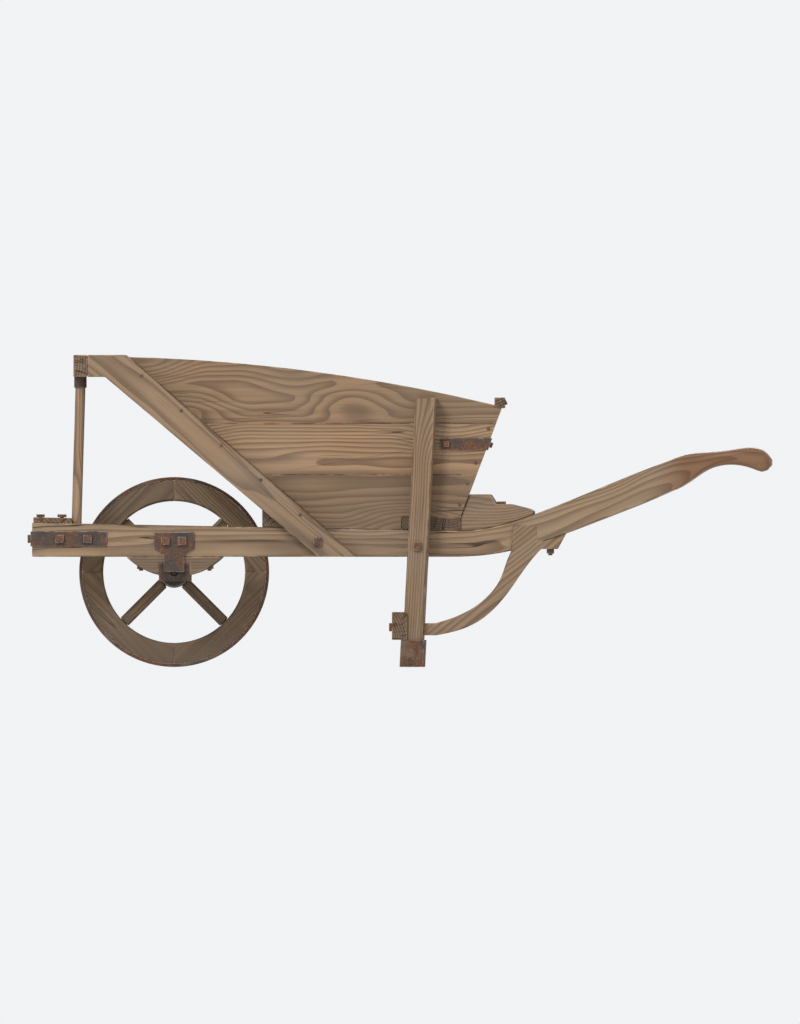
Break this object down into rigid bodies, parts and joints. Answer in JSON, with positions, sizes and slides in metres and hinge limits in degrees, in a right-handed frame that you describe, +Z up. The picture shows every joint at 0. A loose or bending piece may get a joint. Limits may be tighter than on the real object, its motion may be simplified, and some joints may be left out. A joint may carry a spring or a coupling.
{
  "type": "wooden wheelbarrow",
  "caption": "Old wooden wheelbarrow: spoked wheel with an iron tyre between splayed shafts, sloping front board, fixed sides, tailboard, stake legs and curved braces.",
  "frame": {"origin": "the ground under the middle of the whole barrow: centre of its box in X and Y, and Z = 0 on the ground that the wheel and both legs stand on", "axes": "+X runs along the barrow from the wheel to the handles, +Z is up, and +Y is the right-hand side of a person who holds the handles"},
  "size_m": [1.7877, 0.6384, 0.749],
  "materials": {
    "frame_wood": "weathered oak, grey-brown, smoothed by handling",
    "board_wood": "weathered sawn boards with open grain",
    "wheel_wood": "weathered ash and elm, dry and dusty",
    "forged_iron": "forged, dark scale with light rust",
    "tyre_iron": "rust-brown sides, tread worn bright"
  },
  "bodies": {
    "barrow": {"coach_screws": "forged_iron", "floor_boards": "board_wood", "floor_crossbars": "frame_wood", "front_board": "board_wood", "front_bolster": "frame_wood", "head_rail": "frame_wood", "left_axle_block": "frame_wood", "left_bearing_box": "forged_iron", "left_corner_strap": "forged_iron", "left_front_stay": "frame_wood", "left_front_strut": "frame_wood", "left_hanger_plate": "forged_iron", "left_leg": "frame_wood", "left_leg_brace": "frame_wood", "left_leg_shoe": "forged_iron", "left_nose_strap": "forged_iron", "left_shaft": "frame_wood", "left_side_boards": "board_wood", "left_tail_knee": "frame_wood", "leg_crossbar": "frame_wood", "nails": "forged_iron", "nose_board": "board_wood", "nose_bolts": "forged_iron", "nose_crossbar": "frame_wood", "plate_bolts": "forged_iron", "rear_sill": "frame_wood", "right_axle_block": "frame_wood", "right_bearing_box": "forged_iron", "right_corner_strap": "forged_iron", "right_front_stay": "frame_wood", "right_front_strut": "frame_wood", "right_hanger_plate": "forged_iron", "right_leg": "frame_wood", "right_leg_brace": "frame_wood", "right_leg_shoe": "forged_iron", "right_nose_strap": "forged_iron", "right_shaft": "frame_wood", "right_side_boards": "board_wood", "right_tail_knee": "frame_wood", "round_head_bolts": "forged_iron", "side_bolts": "forged_iron", "small_screws": "forged_iron", "stay_ferrules": "forged_iron", "tailboard": "board_wood", "tailboard_rail": "frame_wood"},
    "wheel": {"hub": "wheel_wood", "hub_bands": "forged_iron", "axle": "forged_iron", "axle_washers": "forged_iron", "felloe_dowels": "wheel_wood", "tyre": "tyre_iron", "spoke_1": "wheel_wood", "spoke_2": "wheel_wood", "spoke_3": "wheel_wood", "spoke_4": "wheel_wood", "felloe_1": "wheel_wood", "felloe_2": "wheel_wood", "felloe_3": "wheel_wood", "felloe_4": "wheel_wood"}
  },
  "joints": [
    {"name": "wheel_spin", "type": "hinge", "parent": "barrow", "child": "wheel", "pos_m": [-0.542, 0, 0.228], "axis": [0, 1, 0], "continuous": true}
  ]
}
